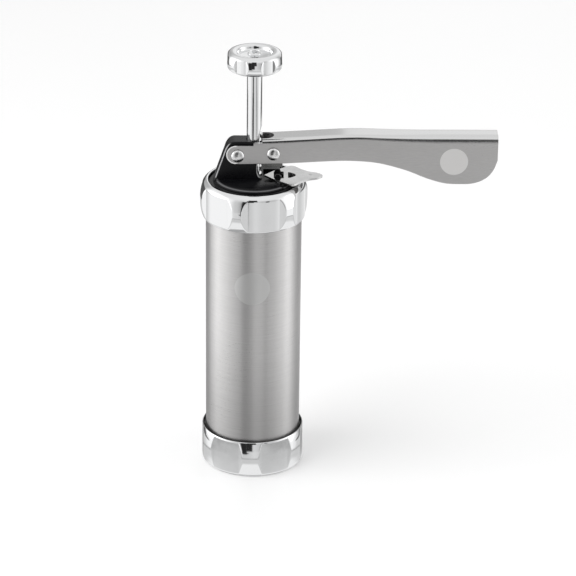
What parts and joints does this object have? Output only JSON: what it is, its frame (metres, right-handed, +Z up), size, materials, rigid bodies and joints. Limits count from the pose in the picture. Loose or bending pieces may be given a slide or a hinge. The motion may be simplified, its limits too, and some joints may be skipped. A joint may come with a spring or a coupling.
{
  "type": "cookie press",
  "caption": "Hand cookie press: steel barrel with chromed screw collars, toothed plunger rod with fluted knob, and a ratchet lever handle on a black head.",
  "frame": {"origin": "on the barrel's axis, at the foot of the lower collar that the press stands on", "axes": "+Z up the barrel towards the knob, +X from the barrel's axis towards the handle's grip, +Y across the lever, along its pivot"},
  "size_m": [0.1655, 0.06, 0.249],
  "materials": {
    "brushed_steel": "brushed round the tube",
    "satin_steel": "satin sides with a polished top",
    "chrome": "mirror polished plating",
    "black_plastic": "moulded, satin",
    "bare_steel": "pressed sheet and turned parts, semi-bright",
    "spring_steel": "drawn wire",
    "white_plastic": "moulded, food grade",
    "seal_rubber": "soft moulded ring"
  },
  "bodies": {
    "press_body": {"barrel": "brushed_steel", "head": "black_plastic", "release_pin": "bare_steel", "release_spring": "spring_steel"},
    "upper_collar": {"upper_collar": "chrome"},
    "lower_collar": {"lower_collar": "chrome", "forming_disc": "bare_steel"},
    "release_plate": {"release_plate": "bare_steel"},
    "rod": {"piston_rod": "chrome", "knob": "chrome", "knob_screw": "bare_steel", "piston": "white_plastic", "piston_seal": "seal_rubber", "piston_washer": "bare_steel", "piston_nut": "bare_steel"},
    "lever": {"lever": "satin_steel", "lever_rivet": "chrome", "pawl_rivet": "chrome", "drive_pawl_spring": "spring_steel"},
    "drive_pawl": {"drive_pawl": "bare_steel"}
  },
  "joints": [
    {"name": "rod_slide", "type": "slide", "parent": "press_body", "child": "rod", "axis": [0, 0, 1], "range_m": [-0.034, 0.105]},
    {"name": "lever_pivot", "type": "hinge", "parent": "press_body", "child": "lever", "pos_m": [-0.0091, 0, 0.1896], "axis": [0, -1, 0], "range_deg": [0, 22]},
    {"name": "drive_pawl_swing", "type": "hinge", "parent": "lever", "child": "drive_pawl", "pos_m": [0.0107, 0, 0.1909], "axis": [0, 1, 0], "range_deg": [0, 9.5]},
    {"name": "release_plate_rock", "type": "hinge", "parent": "press_body", "child": "release_plate", "pos_m": [0.0135, 0, 0.1731], "axis": [0, 1, 0], "range_deg": [0, 3], "stiffness_Nm_per_rad": 0.05, "springref_deg": -28.65},
    {"name": "upper_collar_turn", "type": "hinge", "parent": "press_body", "child": "upper_collar", "pos_m": [0, 0, 0.1518], "axis": [0, 0, 1], "range_deg": [0, 360]},
    {"name": "lower_collar_turn", "type": "hinge", "parent": "press_body", "child": "lower_collar", "pos_m": [0, 0, 0], "axis": [0, 0, -1], "range_deg": [0, 360]}
  ],
  "couplings": [
    {"joint": "drive_pawl_swing", "follows": "lever_pivot", "ratio": 0.41}
  ]
}
